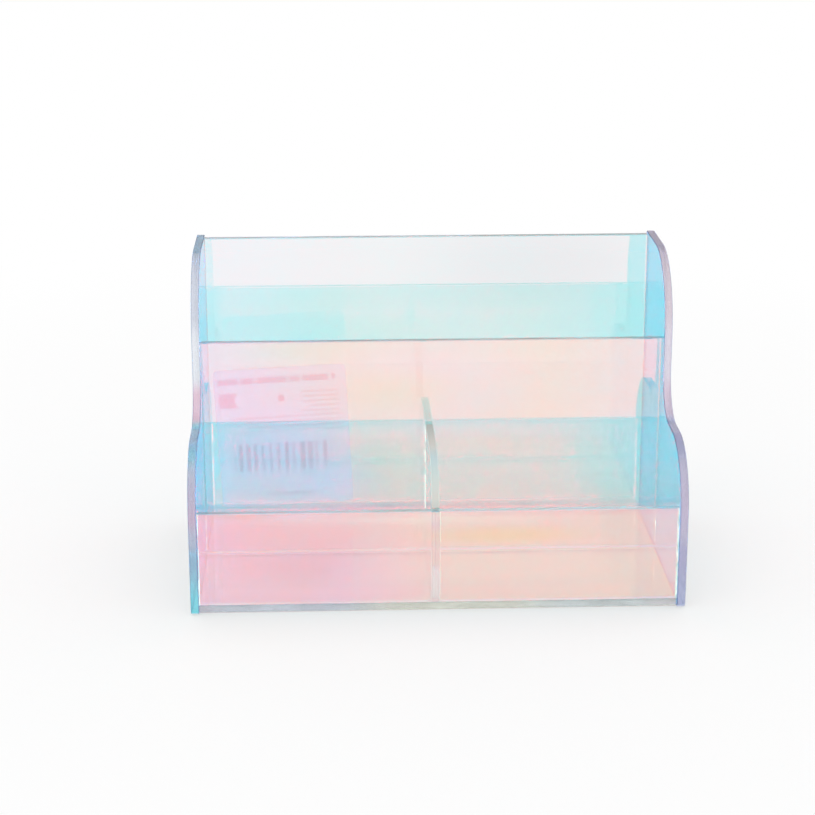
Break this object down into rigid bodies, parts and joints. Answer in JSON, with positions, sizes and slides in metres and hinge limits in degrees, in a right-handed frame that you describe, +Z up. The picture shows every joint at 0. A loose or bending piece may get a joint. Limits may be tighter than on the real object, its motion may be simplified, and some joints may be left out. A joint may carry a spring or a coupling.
{
  "type": "washi tape organizer box",
  "caption": "Open two-tier desk organizer of iridescent clear acrylic sheet, with a rear compartment and a divided front one, for washi tape rolls and small craft parts.",
  "frame": {"origin": "centre of the whole organizer's outline on the surface it stands on", "axes": "+X to the right of someone facing the low front, +Y from the front to the back, +Z up"},
  "size_m": [0.18, 0.1022, 0.1185],
  "materials": {
    "iridescent_acrylic": "clear cast acrylic, one face carrying an iridescent film that passes cyan and reflects pink",
    "clear_acrylic": "clear cast acrylic with polished edges",
    "label_paper": "coated white paper label with a plain pink bar, a plain pink box and even grey rules"
  },
  "bodies": {
    "root": {"base_panel": "iridescent_acrylic", "left_side_panel": "iridescent_acrylic", "right_side_panel": "iridescent_acrylic", "front_panel": "iridescent_acrylic", "middle_panel": "iridescent_acrylic", "back_panel": "iridescent_acrylic", "centre_divider": "clear_acrylic", "blank_label": "label_paper"}
  },
  "joints": []
}
